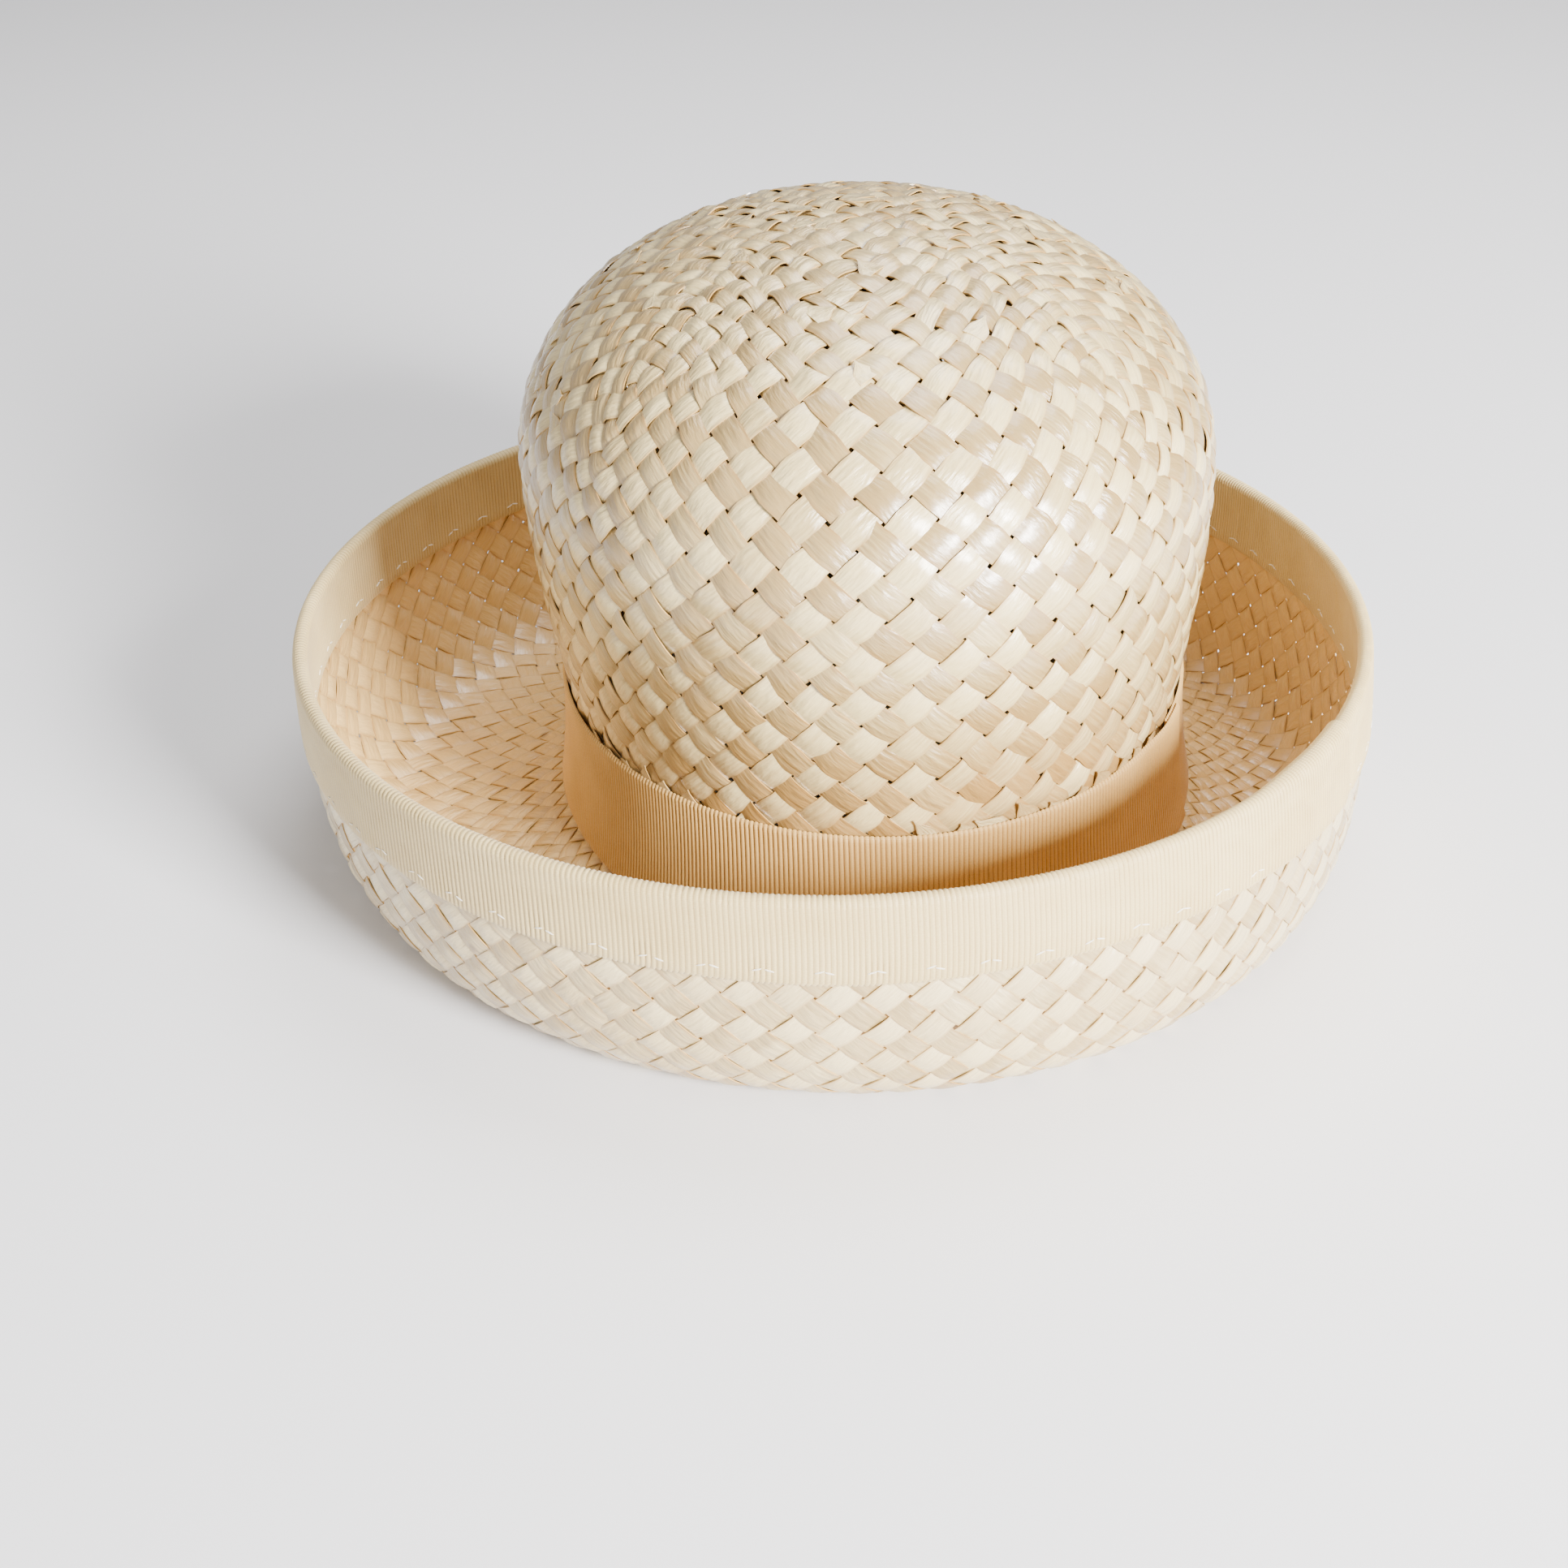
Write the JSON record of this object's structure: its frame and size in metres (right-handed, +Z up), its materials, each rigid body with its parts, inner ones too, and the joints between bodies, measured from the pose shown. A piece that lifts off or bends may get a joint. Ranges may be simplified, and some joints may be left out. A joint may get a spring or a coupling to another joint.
{
  "type": "straw hat",
  "caption": "Wide brim straw hat with a high rounded crown, a grosgrain ribbon round the crown's foot, and a rolled-up brim whose edge is bound with folded ribbon.",
  "frame": {"origin": "on the surface that the hat rests on, under the middle of the brim's edge", "axes": "+Z up through the crown; -Y the front of the hat, as worn; +X the wearer's left, where the ribbons are joined"},
  "size_m": [0.2895, 0.2909, 0.1653],
  "materials": {
    "crown_straw": "satin plaited straw",
    "brim_straw": "satin plaited straw",
    "band_ribbon": "matt ribbed ribbon",
    "binding_ribbon": "matt ribbed ribbon"
  },
  "bodies": {
    "root": {"crown": "crown_straw", "brim": "brim_straw", "crown_band": "band_ribbon", "brim_binding": "binding_ribbon"}
  },
  "joints": []
}
